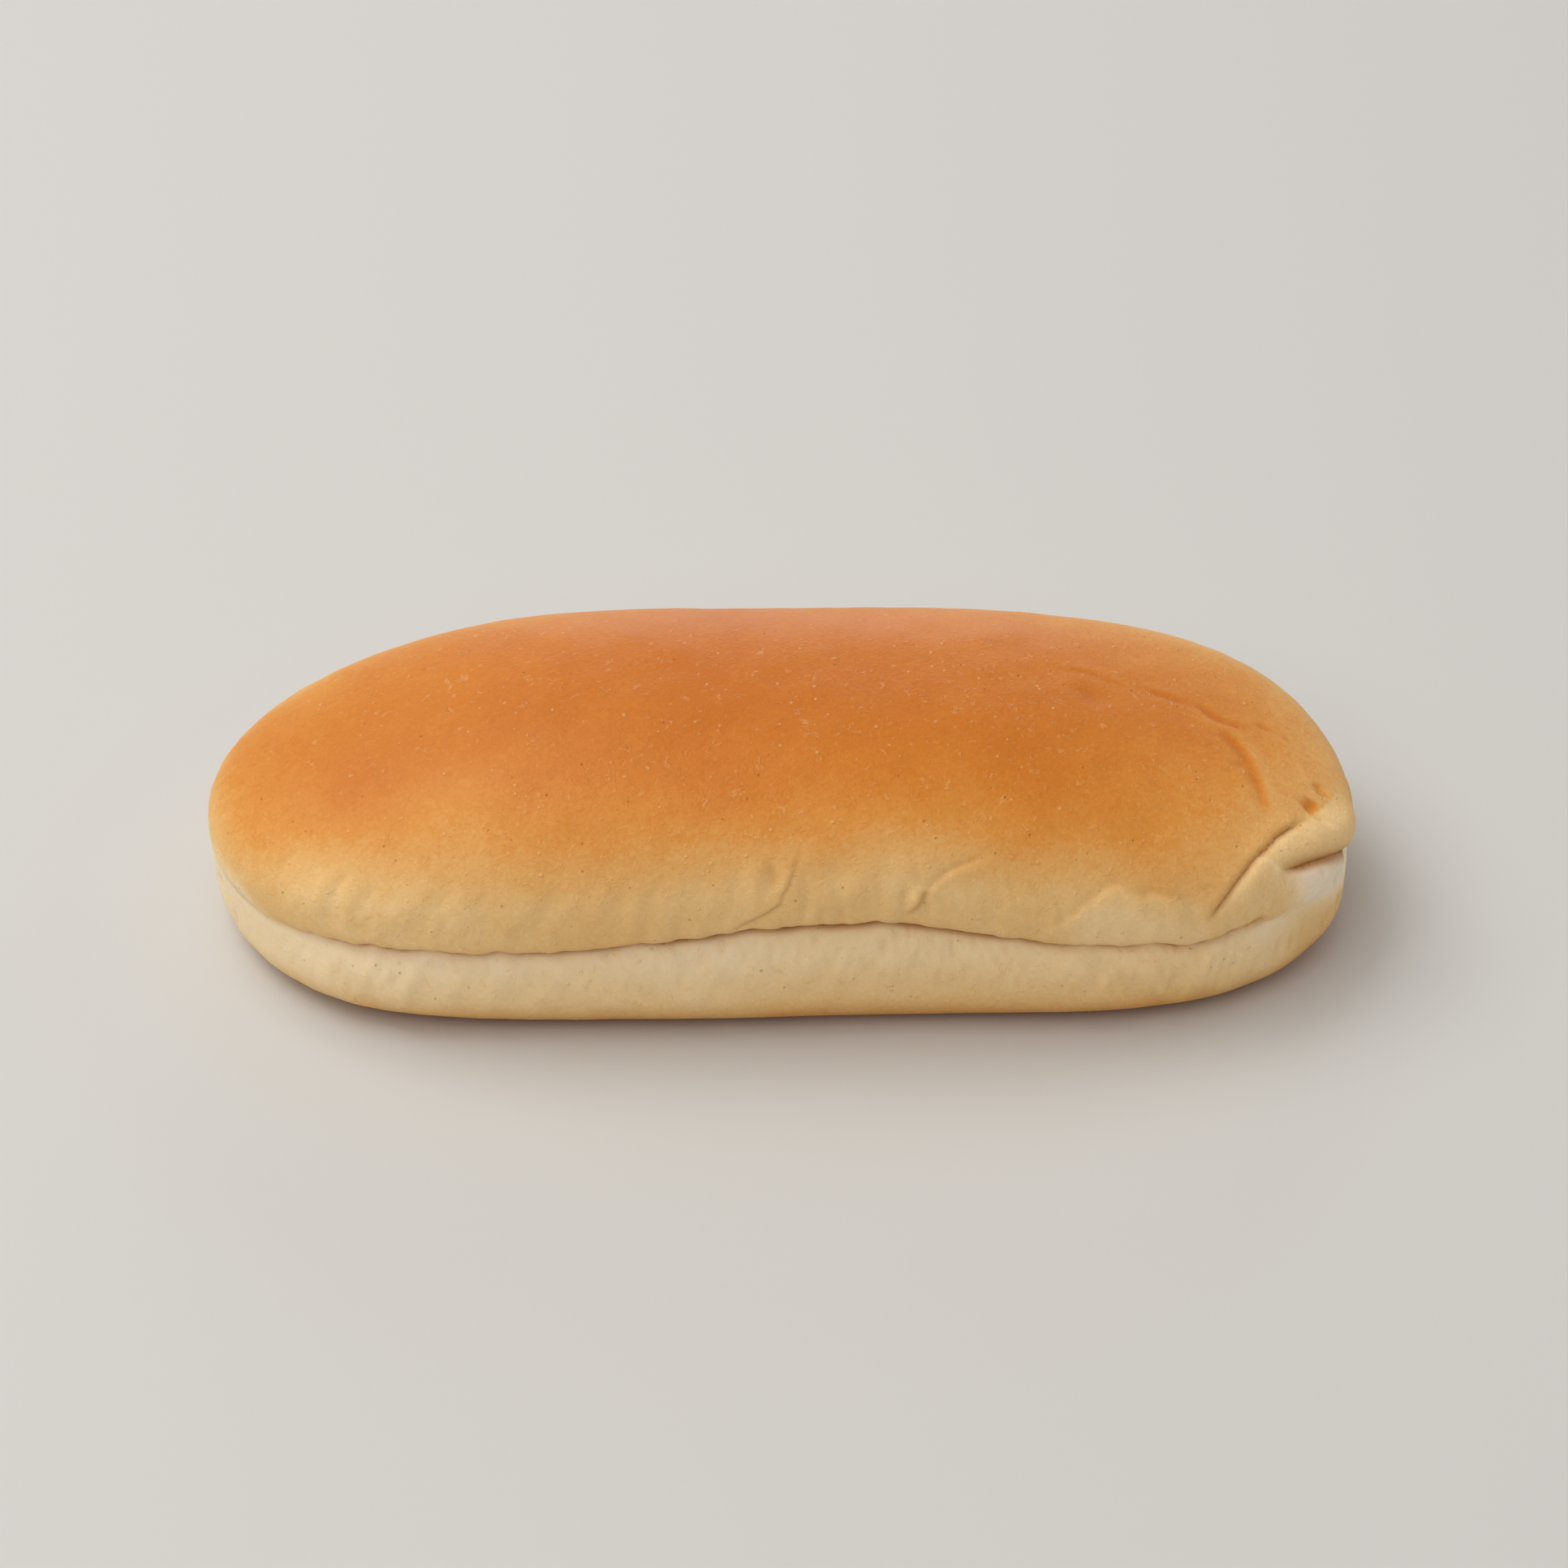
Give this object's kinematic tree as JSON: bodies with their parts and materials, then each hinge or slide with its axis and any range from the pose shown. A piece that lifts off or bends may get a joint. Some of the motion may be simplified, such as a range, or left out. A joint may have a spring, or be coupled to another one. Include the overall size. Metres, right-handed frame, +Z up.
{
  "type": "bread roll",
  "caption": "Long soft white bread roll with a browned domed crust, a folded pale side and a flat baked sole.",
  "frame": {"origin": "middle of the roll's bounding box at its base, on the sole", "axes": "+X along the roll towards its folded end, +Y across it towards the back, +Z up through the crust"},
  "size_m": [0.1574, 0.063, 0.0387],
  "materials": {
    "crust": "satin baked crust"
  },
  "bodies": {
    "root": {"roll": "crust"}
  },
  "joints": []
}
